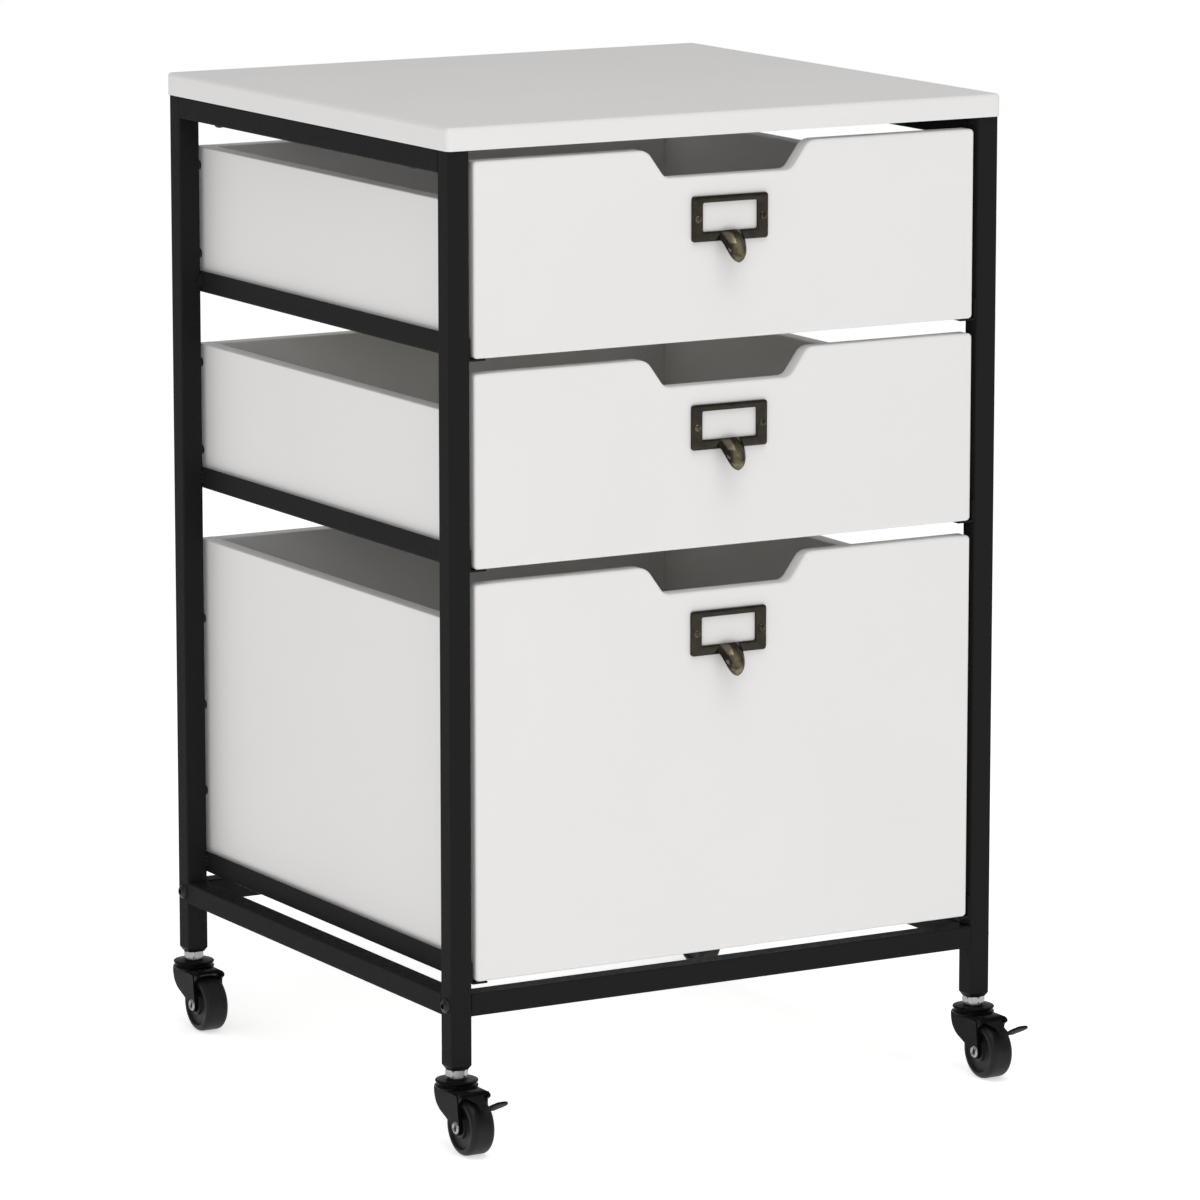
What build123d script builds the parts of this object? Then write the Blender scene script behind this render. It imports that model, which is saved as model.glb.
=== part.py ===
from build123d import *
import os
from math import cos, radians

# Rolling drawer cart: a white board top on a welded square-tube frame, three drawers on
# angle runners and four small swivel casters, the front two with brake pedals.
# Millimetres, +Z up, front toward -Y. The origin lies on the floor in the middle of the
# footprint, which reaches from the brake pedals in front to the rear casters' races.

# frame
frame_width = 440.0
frame_depth = 421.0
tube = 16.0
tube_wall = 1.2
tube_corner = 1.5
leg_below_rail = 34.3

# top panel
panel_thick = 16.0
panel_overhang = 1.5
panel_corner = 4.0
panel_edge = 2.5

# drawers, named from the floor up
lower_front_height = 277.0
middle_front_height = 134.0
upper_front_height = 134.0
gap_over_base_rail = 7.7
gap_between_fronts = 10.5
gap_under_panel = 8.0
drawer_side_gap = 3.6
front_setback = 0.5
drawer_rear_gap = 1.5
front_thick = 12.0
side_thick = 12.0
back_thick = 12.0
bottom_thick = 6.0
wall_drop = 30.0
front_corner = 3.0
front_edge = 2.0
wall_edge = 1.0
groove_depth = 6.0
groove_height_up = 8.0
groove_play = 0.2

# finger notch in the top edge of each drawer front
notch_top_half = 65.0
notch_bottom_half = 50.5
notch_depth = 20.0
notch_top_round = 11.0
notch_bottom_round = 9.0

# angle runners
runner_thick = 1.2
runner_leg = 15.6
runner_shelf = 13.0
runner_bend = 0.8
runner_setback = 1.5
slide_gap = 0.3

# label pulls
pull_width = 60.6
pull_height = 31.7
pull_thick = 2.6
pull_corner = 2.0
pull_bevel = 0.8
pull_drop = 33.7
window_width = 44.0
window_height = 20.0
window_rise = 1.1
window_corner = 1.2
tongue_half = 10.0
tongue_drop = 14.3
tongue_reach = 12.6
tongue_thick = 2.0
tongue_root_below_window = 1.0
tongue_root_sink = 0.2

# fasteners
fit = 0.05
hole_play = 0.25
rail_bolt_dia = 6.0
rail_bolt_head_dia = 10.5
rail_bolt_head_height = 3.3
rail_bolt_socket = 4.0
rail_bolt_socket_depth = 1.8
rail_bolt_engage = 14.0
insert_length = 20.0
panel_screw_dia = 4.0
panel_screw_head_dia = 8.0
panel_screw_head_height = 2.6
panel_screw_engage = 10.0
panel_screw_inset = 65.0
wall_screw_dia = 3.5
wall_screw_head_dia = 7.0
wall_screw_head_height = 2.0
wall_screw_length = 32.0
wall_screw_margin = 12.0
wall_screw_spacing = 98.0
wall_screw_pitch = 64.5
pull_screw_dia = 3.0
pull_screw_head_dia = 5.4
pull_screw_head_height = 1.5
pull_screw_engage = 9.0
cross_slot_width = 0.8
cross_slot_depth = 0.8
pilot_end_play = 0.5

# casters
wheel_dia = 40.0
wheel_width = 17.0
wheel_shoulder = 3.5
wheel_hub_dia = 15.0
wheel_dish_dia = 31.0
wheel_dish_depth = 1.6
wheel_side_play = 0.3
wheel_bore_play = 0.1
caster_trail = 20.0
crown_gap = 3.5
crown_thick = 2.0
crown_dia = 30.0
fork_inside = 19.0
fork_thick = 2.0
fork_nose = 21.0
fork_heel = 12.0
fork_hub_radius = 5.5
axle_dia = 6.0
axle_head_dia = 9.0
axle_head_height = 1.5
lower_race_dia = 28.0
lower_race_height = 1.5
race_gap = 0.3
upper_race_dia = 30.0
upper_race_height = 2.7
upper_race_rim = 1.4
upper_race_land = 1.5
collar_dia = 12.0
collar_height = 1.5
nut_across_flats = 14.0
nut_height = 4.5
stem_dia = 8.0
stem_engage = 24.0
kingpin_dia = 6.0
kingpin_play = 0.3
kingpin_head_dia = 10.0
kingpin_head_height = 2.0
plug_taper_height = 3.0
plug_tip = 12.5
plug_length = 26.0
plug_fit = 0.1

# brake pedals on the front casters
pedal_reach = 66.0
pedal_width = 13.0
pedal_neck = 7.0
pedal_thick = 1.6
pedal_eye_dia = 5.2
pedal_pin_dia = 3.0
pedal_pin_play = 0.1
pedal_pivot_ahead = 4.5
pedal_pivot_rise = 22.8
pedal_knee_ahead = 13.0
pedal_knee_drop = 2.6
pedal_low_ahead = 20.5
pedal_low_drop = 6.3
pedal_flat = 5.0
pedal_rise = 10.4
pedal_bend = 2.4
ear_dia = 6.4

# heights that follow from the sizes above
crown_under = wheel_dia + crown_gap
crown_top = crown_under + crown_thick
lower_race_top = crown_top + lower_race_height
upper_race_bottom = lower_race_top + race_gap
upper_race_top = upper_race_bottom + upper_race_height
collar_top = upper_race_top + collar_height
nut_top = collar_top + nut_height
post_bottom = nut_top + plug_taper_height
base_rail_bottom = post_bottom + leg_below_rail
base_rail_top = base_rail_bottom + tube
lower_z = base_rail_top + gap_over_base_rail
middle_z = lower_z + lower_front_height + gap_between_fronts
upper_z = middle_z + middle_front_height + gap_between_fronts
panel_bottom = upper_z + upper_front_height + gap_under_panel
panel_top = panel_bottom + panel_thick
top_rail_bottom = panel_bottom - tube

# plan positions that follow
rear_reach = max(panel_overhang, max(upper_race_dia, crown_dia) / 2 - tube / 2)
y_front = (pedal_reach - tube / 2 - frame_depth - rear_reach) / 2
y_back = y_front + frame_depth
x_out = frame_width / 2
x_in = x_out - tube
post_x = x_out - tube / 2
front_post_y = y_front + tube / 2
rear_post_y = y_back - tube / 2
drawer_half = x_in - drawer_side_gap
drawer_front_y = y_front + front_setback
box_front_y = drawer_front_y + front_thick
drawer_rear_y = y_back - drawer_rear_gap
bolt_z = base_rail_bottom + tube / 2
tube_inside = tube - 2 * tube_wall
corners = {
    "front_left": (-1, front_post_y),
    "front_right": (1, front_post_y),
    "rear_left": (-1, rear_post_y),
    "rear_right": (1, rear_post_y),
}
drawers = {
    "lower": (lower_z, lower_front_height),
    "middle": (middle_z, middle_front_height),
    "upper": (upper_z, upper_front_height),
}

os.makedirs("parts", exist_ok=True)


def save(name, shape):
    solids = list(shape.solids())
    body = solids[0] if len(solids) == 1 else Compound(children=solids)
    body.label = name
    export_step(body, f"parts/{name}.step")


def block(x0, x1, y0, y1, z0, z1):
    size = Box(x1 - x0, y1 - y0, z1 - z0)
    return Pos((x0 + x1) / 2, (y0 + y1) / 2, (z0 + z1) / 2) * size


def rod_z(x, y, z0, z1, radius):
    return Pos(x, y, (z0 + z1) / 2) * Cylinder(radius, z1 - z0)


def rod_x(x0, x1, y, z, radius):
    return Pos((x0 + x1) / 2, y, z) * Rot(0, 90, 0) * Cylinder(radius, abs(x1 - x0))


def rod_y(x, y0, y1, z, radius):
    return Pos(x, (y0 + y1) / 2, z) * Rot(90, 0, 0) * Cylinder(radius, abs(y1 - y0))


def square_tube(length):
    outer = extrude(RectangleRounded(tube, tube, tube_corner), length)
    inner = extrude(RectangleRounded(tube_inside, tube_inside, tube_corner - tube_wall), length)
    return outer - inner


def profile_yz(points):
    # closed outline of (y, z) points as a face standing in the YZ plane at x = 0
    wire = Polyline(*[(0, y, z) for y, z in points], close=True)
    return make_face(wire.edges())


def cross_cut(centre, direction, size):
    # two crossed slots in a screw head, cut down from its outer face
    plane = Plane(origin=centre, z_dir=direction)
    depth = 2 * cross_slot_depth
    bars = Box(size, cross_slot_width, depth) + Box(cross_slot_width, size, depth)
    return plane * bars


# top panel: one board with eased edges, pilot holes for the screws from the side rails
panel = block(
    -x_out - panel_overhang, x_out + panel_overhang,
    y_front - panel_overhang, y_back + panel_overhang,
    panel_bottom, panel_top,
)
panel = fillet(panel.edges().filter_by(Axis.Z), panel_corner)
panel = fillet(panel.faces().sort_by(Axis.Z)[-1].edges(), panel_edge)
panel_screw_ys = (y_front + panel_screw_inset, y_back - panel_screw_inset)
panel_screw_spots = [(side * post_x, y) for side in (-1, 1) for y in panel_screw_ys]
for x, y in panel_screw_spots:
    depth = panel_screw_engage + pilot_end_play
    panel -= rod_z(x, y, panel_bottom, panel_bottom + depth, panel_screw_dia / 2 + fit)
save("top_panel", panel)

# posts: tubes up to the panel's underside, drilled across for the rail bolts
bolt_hole = rail_bolt_dia / 2 + hole_play
for name, (side, y) in corners.items():
    post = Pos(side * post_x, y, post_bottom) * square_tube(panel_bottom - post_bottom)
    post -= rod_x(side * x_in, side * x_out, y, bolt_z, bolt_hole)
    save(f"post_{name}", post)

# side rails: welded between the posts, at the top and at the base
side_length = frame_depth - 2 * tube
for name, side in (("left", -1), ("right", 1)):
    along_y = Pos(side * post_x, y_front + tube, 0) * Rot(-90, 0, 0) * square_tube(side_length)
    top_rail = Pos(0, 0, panel_bottom - tube / 2) * along_y
    for y in panel_screw_ys:
        radius = panel_screw_dia / 2 + hole_play
        top_rail -= rod_z(side * post_x, y, top_rail_bottom, panel_bottom, radius)
    save(f"top_rail_{name}", top_rail)
    save(f"base_rail_{name}", Pos(0, 0, bolt_z) * along_y)

# cross rails: bolted between the side frames, with a threaded insert in each end
cross_length = 2 * x_in
bolts = []
inserts = []
insert_side = tube_inside - 2 * fit
for name, y in (("front", front_post_y), ("rear", rear_post_y)):
    rail = Pos(-x_in, y, bolt_z) * Rot(0, 90, 0) * square_tube(cross_length)
    save(f"base_rail_{name}", rail)
    for side in (-1, 1):
        tip = x_in - rail_bolt_engage
        head_end = x_out + rail_bolt_head_height
        head = rod_x(x_out, head_end, y, bolt_z, rail_bolt_head_dia / 2)
        head = fillet(head.edges().sort_by(Axis.X)[-1], rail_bolt_head_height * 0.6)
        shank = rod_x(tip, x_out, y, bolt_z, rail_bolt_dia / 2)
        socket_plane = Plane(origin=(head_end, y, bolt_z), z_dir=(-1, 0, 0))
        hexagon = RegularPolygon(rail_bolt_socket / 2, 6, major_radius=False)
        socket = extrude(socket_plane * hexagon, rail_bolt_socket_depth)
        bolt = head + shank - socket
        stock = extrude(RectangleRounded(insert_side, insert_side, tube_corner - tube_wall), insert_length)
        insert = Pos(x_in - insert_length, y, bolt_z) * Rot(0, 90, 0) * stock
        insert -= rod_x(x_in - insert_length, x_in, y, bolt_z, rail_bolt_dia / 2 + fit)
        if side < 0:
            bolt = mirror(bolt, Plane.YZ)
            insert = mirror(insert, Plane.YZ)
        bolts.append(bolt)
        inserts.append(insert)
save("rail_bolts", Compound(children=bolts))
save("rail_end_inserts", Compound(children=inserts))

# screws up through the side top rails into the panel
screws = []
for x, y in panel_screw_spots:
    head = rod_z(x, y, top_rail_bottom - panel_screw_head_height, top_rail_bottom, panel_screw_head_dia / 2)
    head = fillet(head.edges().sort_by(Axis.Z)[0], panel_screw_head_height * 0.45)
    shank = rod_z(x, y, top_rail_bottom, panel_bottom + panel_screw_engage, panel_screw_dia / 2)
    slot = cross_cut((x, y, top_rail_bottom - panel_screw_head_height), (0, 0, 1), panel_screw_head_dia * 0.5)
    screws.append(head + shank - slot)
save("top_panel_screws", Compound(children=screws))

# runners: steel angle welded along the inside of the posts, a left and a right one per drawer
shelf_bend = runner_thick + runner_bend
for name, (base, height) in drawers.items():
    foot = base - slide_gap - runner_thick
    outline = Polyline(
        (0, 0), (runner_shelf, 0), (runner_shelf, runner_thick),
        (runner_thick, runner_thick), (runner_thick, runner_leg), (0, runner_leg), close=True,
    )
    section = make_face(outline.edges())
    heel = section.vertices().sort_by_distance((0, 0))[0]
    section = fillet(heel, shelf_bend)
    throat = section.vertices().sort_by_distance((runner_thick, runner_thick))[0]
    section = fillet(throat, runner_bend)
    length = frame_depth - 2 * runner_setback
    angle = Pos(-x_in, y_back - runner_setback, foot) * Rot(90, 0, 0) * extrude(section, length)
    save(f"runners_{name}", Compound(children=[angle, mirror(angle, Plane.YZ)]))


def drawer_front(base, height):
    top = base + height
    floor = top - notch_depth
    outline = Polyline(
        (-drawer_half, base), (drawer_half, base), (drawer_half, top), (notch_top_half, top),
        (notch_bottom_half, floor), (-notch_bottom_half, floor), (-notch_top_half, top),
        (-drawer_half, top), close=True,
    )
    face = make_face(outline.edges())
    outer = [v for v in face.vertices() if abs(v.X) > notch_top_half + 1]
    face = fillet(outer, front_corner)
    lips = [v for v in face.vertices() if abs(abs(v.X) - notch_top_half) < 0.01]
    face = fillet(lips, notch_top_round)
    feet = [v for v in face.vertices() if abs(abs(v.X) - notch_bottom_half) < 0.01]
    face = fillet(feet, notch_bottom_round)
    board = extrude(Plane.XZ * face, front_thick)
    board = Pos(0, box_front_y, 0) * board
    return fillet(board.faces().sort_by(Axis.Y)[0].edges(), front_edge)


def wall_screw_heights(base, height):
    low = base + groove_height_up + bottom_thick + wall_screw_margin
    high = base + height - wall_drop - wall_screw_margin
    spaces = max(1, round((high - low) / wall_screw_spacing))
    pitch = min(wall_screw_pitch, (high - low) / spaces)
    start = max(low, base + (height - wall_drop - pitch * spaces) / 2)
    return [start + pitch * i for i in range(spaces + 1)]


inner_half = drawer_half - side_thick
back_y = drawer_rear_y - back_thick
screw_y = drawer_rear_y - back_thick / 2
for name, (base, height) in drawers.items():
    wall_top = base + height - wall_drop
    groove_z = base + groove_height_up
    groove_top = groove_z + bottom_thick + groove_play
    tuck = groove_depth - groove_play
    channel = block(
        -inner_half - groove_depth, inner_half + groove_depth,
        box_front_y - groove_depth, back_y + groove_depth, groove_z, groove_top,
    )

    # bottom board, held in grooves all round
    bottom = block(
        -inner_half - tuck, inner_half + tuck,
        box_front_y - tuck, back_y + tuck, groove_z, groove_z + bottom_thick,
    )
    save(f"drawer_{name}_bottom", bottom)

    # back board, between the sides
    back = block(-inner_half, inner_half, back_y, drawer_rear_y, base, wall_top)
    back = fillet(back.edges().filter_by(Axis.X).group_by(Axis.Z)[-1], wall_edge)
    back -= channel

    # side boards, screwed to the back near their rear ends
    side = block(-drawer_half, -inner_half, box_front_y, drawer_rear_y, base, wall_top)
    side = fillet(side.edges().filter_by(Axis.Y).group_by(Axis.Z)[-1], wall_edge)
    side -= channel
    left_screws = []
    cone_play = wall_screw_head_dia / 2 + fit
    for z in wall_screw_heights(base, height):
        head_end = -drawer_half + wall_screw_head_height
        tip = -drawer_half + wall_screw_length
        shank = rod_x(-drawer_half, tip, screw_y, z, wall_screw_dia / 2)
        cone_pose = Pos(-drawer_half + wall_screw_head_height / 2, screw_y, z) * Rot(0, 90, 0)
        head = cone_pose * Cone(wall_screw_head_dia / 2, wall_screw_dia / 2, wall_screw_head_height)
        slot = cross_cut((-drawer_half, screw_y, z), (-1, 0, 0), wall_screw_head_dia * 0.55)
        left_screws.append(head + shank - slot)
        seat = cone_pose * Cone(cone_play, wall_screw_dia / 2 + fit, wall_screw_head_height)
        bore = rod_x(-drawer_half, tip + pilot_end_play, screw_y, z, wall_screw_dia / 2 + fit)
        side -= seat + bore
        back -= bore
        back -= mirror(bore, Plane.YZ)
    save(f"drawer_{name}_back", back)
    save(f"drawer_{name}_left_side", side)
    save(f"drawer_{name}_right_side", mirror(side, Plane.YZ))
    right_screws = [mirror(s, Plane.YZ) for s in left_screws]
    save(f"drawer_{name}_wall_screws", Compound(children=left_screws + right_screws))

    # front board with its finger notch, groove and pilot holes for the pull
    front = drawer_front(base, height) - channel
    pull_z = base + height - pull_drop - pull_height / 2
    screw_x = (pull_width + window_width) / 4
    face_y = drawer_front_y
    for x in (-screw_x, screw_x):
        end = face_y + pull_screw_engage + pilot_end_play
        front -= rod_y(x, face_y, end, pull_z, pull_screw_dia / 2 + fit)
    save(f"drawer_{name}_front", front)

    # label pull: flat cast frame with a tongue curling out and down from its lower bar
    plate = extrude(Plane.XZ * RectangleRounded(pull_width, pull_height, pull_corner), pull_thick)
    window = Rectangle(window_width, window_height)
    window = fillet(window.vertices(), window_corner)
    plate = chamfer(plate.faces().sort_by(Axis.Y)[0].edges(), pull_bevel)
    plate -= extrude(Plane.XZ * Pos(0, window_rise) * window, pull_thick)
    root_w = window_rise - window_height / 2 - tongue_root_below_window
    tip_w = -pull_height / 2 - tongue_drop
    root_v = pull_thick - tongue_root_sink
    mid_v = root_v + (tongue_reach - root_v) * 0.63
    mid_w = (root_w + tip_w) / 2
    outer_arc = ThreePointArc((0, -root_v, root_w), (0, -mid_v, mid_w), (0, -tongue_reach, tip_w))
    inner_arc = ThreePointArc(
        (0, -root_v + tongue_thick, root_w - tongue_thick * 0.35),
        (0, -mid_v + tongue_thick * 0.8, mid_w - tongue_thick * 0.65),
        (0, -tongue_reach + tongue_thick, tip_w),
    )
    root_line = Line(outer_arc @ 0, inner_arc @ 0)
    tip_line = Line(outer_arc @ 1, inner_arc @ 1)
    band = make_face([outer_arc.edge(), tip_line.edge(), inner_arc.edge(), root_line.edge()])
    band = extrude(band, amount=tongue_half, dir=(1, 0, 0), both=True)
    outline = Pos(0, (root_w + tip_w + tongue_half) / 2) * Rectangle(2 * tongue_half, root_w - tip_w - tongue_half)
    outline += Pos(0, tip_w + tongue_half) * Circle(tongue_half)
    shaft = extrude(Plane.XZ * outline, 2 * tongue_reach)
    tongue = band & shaft
    pull = plate + tongue
    pull = Pos(0, face_y, pull_z) * pull
    pull_screws = []
    for x in (-screw_x, screw_x):
        pull -= rod_y(x, face_y - pull_thick, face_y, pull_z, pull_screw_dia / 2 + fit)
        head = rod_y(
            x, face_y - pull_thick - pull_screw_head_height, face_y - pull_thick,
            pull_z, pull_screw_head_dia / 2,
        )
        head = fillet(head.edges().sort_by(Axis.Y)[0], pull_screw_head_height * 0.6)
        shank = rod_y(x, face_y - pull_thick, face_y + pull_screw_engage, pull_z, pull_screw_dia / 2)
        slot_spot = (x, face_y - pull_thick - pull_screw_head_height, pull_z)
        slot = cross_cut(slot_spot, (0, -1, 0), pull_screw_head_dia * 0.5)
        pull_screws.append(head + shank - slot)
    save(f"drawer_{name}_pull", pull)
    save(f"drawer_{name}_pull_screws", Compound(children=pull_screws))

# caster fittings that stay with the frame: end plug, nut, fixed race and stem at each post
plugs = []
nuts = []
races = []
stems = []
plug_side = tube_inside - 2 * plug_fit
plug_end = post_bottom + plug_length
stem_end = nut_top + stem_engage
for name, (side, y) in corners.items():
    at = Pos(side * post_x, y, 0)
    taper = loft([
        Pos(0, 0, nut_top) * RectangleRounded(plug_tip, plug_tip, tube_corner),
        Pos(0, 0, post_bottom) * RectangleRounded(tube, tube, tube_corner),
    ])
    core = extrude(RectangleRounded(plug_side, plug_side, tube_corner - tube_wall), plug_length)
    plug = taper + Pos(0, 0, post_bottom) * core
    plug -= rod_z(0, 0, nut_top, plug_end, stem_dia / 2 + fit)
    plugs.append(at * plug)
    nut = extrude(RegularPolygon(nut_across_flats / 2, 6, major_radius=False), nut_height)
    nut = Pos(0, 0, collar_top) * nut
    nuts.append(at * (nut - rod_z(0, 0, collar_top, nut_top, stem_dia / 2 + fit)))
    rim_top = upper_race_bottom + upper_race_rim
    cone_height = upper_race_height - upper_race_rim
    rim = rod_z(0, 0, upper_race_bottom, rim_top, upper_race_dia / 2)
    cone = Pos(0, 0, rim_top + cone_height / 2) * Cone(upper_race_dia / 2, collar_dia / 2 + upper_race_land, cone_height)
    races.append(at * (rim + cone - rod_z(0, 0, upper_race_bottom, upper_race_top, stem_dia / 2 + fit)))
    stem = rod_z(0, 0, upper_race_bottom, stem_end, stem_dia / 2)
    stem += rod_z(0, 0, upper_race_top, collar_top, collar_dia / 2)
    pin_low = crown_under - race_gap
    stem += rod_z(0, 0, pin_low, upper_race_bottom, kingpin_dia / 2)
    stem += rod_z(0, 0, pin_low - kingpin_head_height, pin_low, kingpin_head_dia / 2)
    stems.append(at * stem)
save("post_end_plugs", Compound(children=plugs))
save("caster_nuts", Compound(children=nuts))
save("caster_upper_races", Compound(children=races))
save("caster_stems", Compound(children=stems))

# fork, shared by all four casters: stamped crown, two cheeks trailing to the axle
hub_y = -caster_trail
hub_z = wheel_dia / 2
pivot_y = hub_y - pedal_pivot_ahead
pivot_z = hub_z + pedal_pivot_rise
leg_in = fork_inside / 2
leg_out = leg_in + fork_thick
heel_run = fork_heel - hub_y - fork_hub_radius
cheek_rise = crown_under - hub_z
cheek_sweep = ((0.34, 0.17), (0.49, 0.24), (0.71, 0.35), (0.89, 0.53), (0.97, 0.73))
cheek = profile_yz([
    (fork_heel, crown_top), (-fork_nose, crown_top),
    (hub_y - fork_hub_radius, hub_z + fork_hub_radius * 0.2), (hub_y, hub_z),
] + [(fork_heel - heel_run * (1 - along), hub_z + cheek_rise * up) for along, up in cheek_sweep])
cheek = extrude(cheek, fork_thick, dir=(1, 0, 0))
cheek += rod_x(0, fork_thick, hub_y, hub_z, fork_hub_radius)
cheek += rod_x(0, fork_thick, pivot_y, pivot_z, ear_dia / 2)
cheek -= rod_x(0, fork_thick, hub_y, hub_z, axle_dia / 2 + fit)
cheek -= rod_x(0, fork_thick, pivot_y, pivot_z, pedal_pin_dia / 2 + pedal_pin_play)
crown = rod_z(0, 0, crown_under, crown_top, crown_dia / 2)
crown += block(-leg_out, leg_out, -fork_nose, fork_heel, crown_under, crown_top)
crown += rod_z(0, 0, crown_top, lower_race_top, lower_race_dia / 2)
fork = crown + Pos(leg_in, 0, 0) * cheek + Pos(-leg_out, 0, 0) * cheek
fork -= rod_z(0, 0, crown_under, lower_race_top, kingpin_dia / 2 + kingpin_play)

# axle: rivet through both cheeks, rounded heads outside
axle = rod_x(-leg_out, leg_out, hub_y, hub_z, axle_dia / 2)
for side in (-1, 1):
    head = rod_x(leg_out, leg_out + axle_head_height, hub_y, hub_z, axle_head_dia / 2)
    head = fillet(head.edges().sort_by(Axis.X)[-1], axle_head_height * 0.7)
    axle += head if side > 0 else mirror(head, Plane.YZ)

# wheel: moulded tyre with soft shoulders, dished sides and a hub boss between the cheeks
tread = wheel_width / 2
boss = leg_in - wheel_side_play
dish = tread - wheel_dish_depth
rim_r = wheel_dia / 2
half = [
    (wheel_dia / 2 - wheel_shoulder, tread), (wheel_dish_dia / 2, tread), (wheel_dish_dia / 2, dish),
    (wheel_hub_dia / 2, dish), (wheel_hub_dia / 2, boss), (axle_dia / 2 + wheel_bore_play, boss),
]
ring = [(r, w) for r, w in half] + [(r, -w) for r, w in reversed(half)]
edges = list(Polyline(*[(w, r, 0) for r, w in ring]).edges())
low = (-tread, rim_r - wheel_shoulder, 0)
high = (tread, rim_r - wheel_shoulder, 0)
low_in = (-tread + wheel_shoulder, rim_r, 0)
high_in = (tread - wheel_shoulder, rim_r, 0)
bend = wheel_shoulder * (1 - cos(radians(45)))
low_mid = (-tread + bend, rim_r - bend, 0)
high_mid = (tread - bend, rim_r - bend, 0)
edges.append(ThreePointArc(low, low_mid, low_in).edge())
edges.append(Line(low_in, high_in).edge())
edges.append(ThreePointArc(high_in, high_mid, high).edge())
wheel = revolve(make_face(edges), Axis.X, 360)
wheel = Pos(0, hub_y, hub_z) * wheel

# brake pedal: bent strip on two pivot stubs, lying over the tread and rising to a foot pad
knee = (pivot_y - (pedal_knee_ahead - pedal_pivot_ahead), pivot_z - pedal_knee_drop)
dip = (hub_y - pedal_low_ahead, pivot_z - pedal_low_drop)
toe = (dip[0] - pedal_flat, dip[1])
tip = (-pedal_reach, toe[1] + pedal_rise)
path = FilletPolyline((pivot_y, pivot_z), knee, dip, toe, tip, radius=pedal_bend)
strip = trace(path, pedal_thick)
strip = Plane.YZ * strip
strip = extrude(strip, amount=pedal_width / 2, dir=(1, 0, 0), both=True)
pad_centre = -pedal_reach + pedal_width / 2
pad_half = pedal_width / 2
neck_half = pedal_neck / 2
leaf = Polyline(
    (pad_half, pad_centre), (neck_half, toe[0]), (neck_half, knee[0]), (pad_half, knee[0] + pedal_flat),
    (pad_half, 0), (-pad_half, 0), (-pad_half, knee[0] + pedal_flat), (-neck_half, knee[0]),
    (-neck_half, toe[0]), (-pad_half, pad_centre), close=True,
)
trim = make_face(leaf.edges()) + Pos(0, pad_centre) * Circle(pad_half)
pedal = strip & extrude(trim, panel_bottom)
pedal += rod_x(-pedal_width / 2, pedal_width / 2, pivot_y, pivot_z, pedal_eye_dia / 2)
pedal += rod_x(-leg_out, leg_out, pivot_y, pivot_z, pedal_pin_dia / 2)

for name, (side, y) in corners.items():
    at = Pos(side * post_x, y, 0)
    save(f"caster_fork_{name}", at * fork)
    save(f"caster_axle_{name}", at * axle)
    save(f"caster_wheel_{name}", at * wheel)
    if name.startswith("front"):
        save(f"brake_pedal_{name}", at * pedal)
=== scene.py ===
import math
import bmesh
import bpy
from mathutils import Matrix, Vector


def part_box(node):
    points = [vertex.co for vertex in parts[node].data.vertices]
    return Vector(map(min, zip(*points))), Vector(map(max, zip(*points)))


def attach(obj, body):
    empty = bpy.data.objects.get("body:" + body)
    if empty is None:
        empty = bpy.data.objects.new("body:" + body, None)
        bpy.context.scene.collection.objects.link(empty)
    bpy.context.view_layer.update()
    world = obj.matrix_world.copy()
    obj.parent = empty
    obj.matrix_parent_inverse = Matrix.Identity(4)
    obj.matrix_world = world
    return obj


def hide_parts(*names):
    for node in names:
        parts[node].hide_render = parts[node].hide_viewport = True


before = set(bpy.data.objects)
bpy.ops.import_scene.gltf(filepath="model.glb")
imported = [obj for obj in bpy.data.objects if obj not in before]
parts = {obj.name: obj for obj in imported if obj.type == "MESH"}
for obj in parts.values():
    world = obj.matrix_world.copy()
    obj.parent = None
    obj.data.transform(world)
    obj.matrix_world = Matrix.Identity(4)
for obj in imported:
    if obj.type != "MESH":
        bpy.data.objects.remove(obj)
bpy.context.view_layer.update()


# Posts and side rails: 16 mm square steel tube, sawn to length and welded into two side
# frames, with a front and a rear base rail bolted between them. All of it is powder coated
# satin black before it is put together.
def to_linear(hex_colour):
    levels = [int(hex_colour[i:i + 2], 16) / 255 for i in (1, 3, 5)]
    linear = [v / 12.92 if v <= 0.04045 else ((v + 0.055) / 1.055) ** 2.4 for v in levels]
    return linear + [1.0]


def add_node(tree, kind, inputs=None, **settings):
    made = tree.nodes.new(kind)
    for name, value in settings.items():
        setattr(made, name, value)
    for name, value in (inputs or {}).items():
        if isinstance(value, bpy.types.NodeSocket):
            tree.links.new(value, made.inputs[name])
        else:
            made.inputs[name].default_value = value
    return made


def new_finish(name, levels):
    finish = bpy.data.materials.new(name)
    finish.use_nodes = True
    surface = finish.node_tree.nodes["Principled BSDF"]
    for key, value in levels.items():
        surface.inputs[key].default_value = value
    return finish


def grain(finish, size, detail=2.0):
    # noise that stays with the object, in grains about as wide as size
    place = add_node(finish.node_tree, "ShaderNodeTexCoord")
    noise = add_node(finish.node_tree, "ShaderNodeTexNoise", {
        "Vector": place.outputs["Object"], "Scale": 1 / size, "Detail": detail})
    return noise.outputs["Fac"]


def spread(finish, value, to_min, to_max, from_min=0.0, from_max=1.0):
    ranged = add_node(finish.node_tree, "ShaderNodeMapRange", {
        "Value": value, "From Min": from_min, "From Max": from_max,
        "To Min": to_min, "To Max": to_max})
    return ranged.outputs["Result"]


def bump(finish, height, strength, distance):
    raised = add_node(finish.node_tree, "ShaderNodeBump", {
        "Height": height, "Strength": strength, "Distance": distance})
    return raised.outputs["Normal"]


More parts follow.
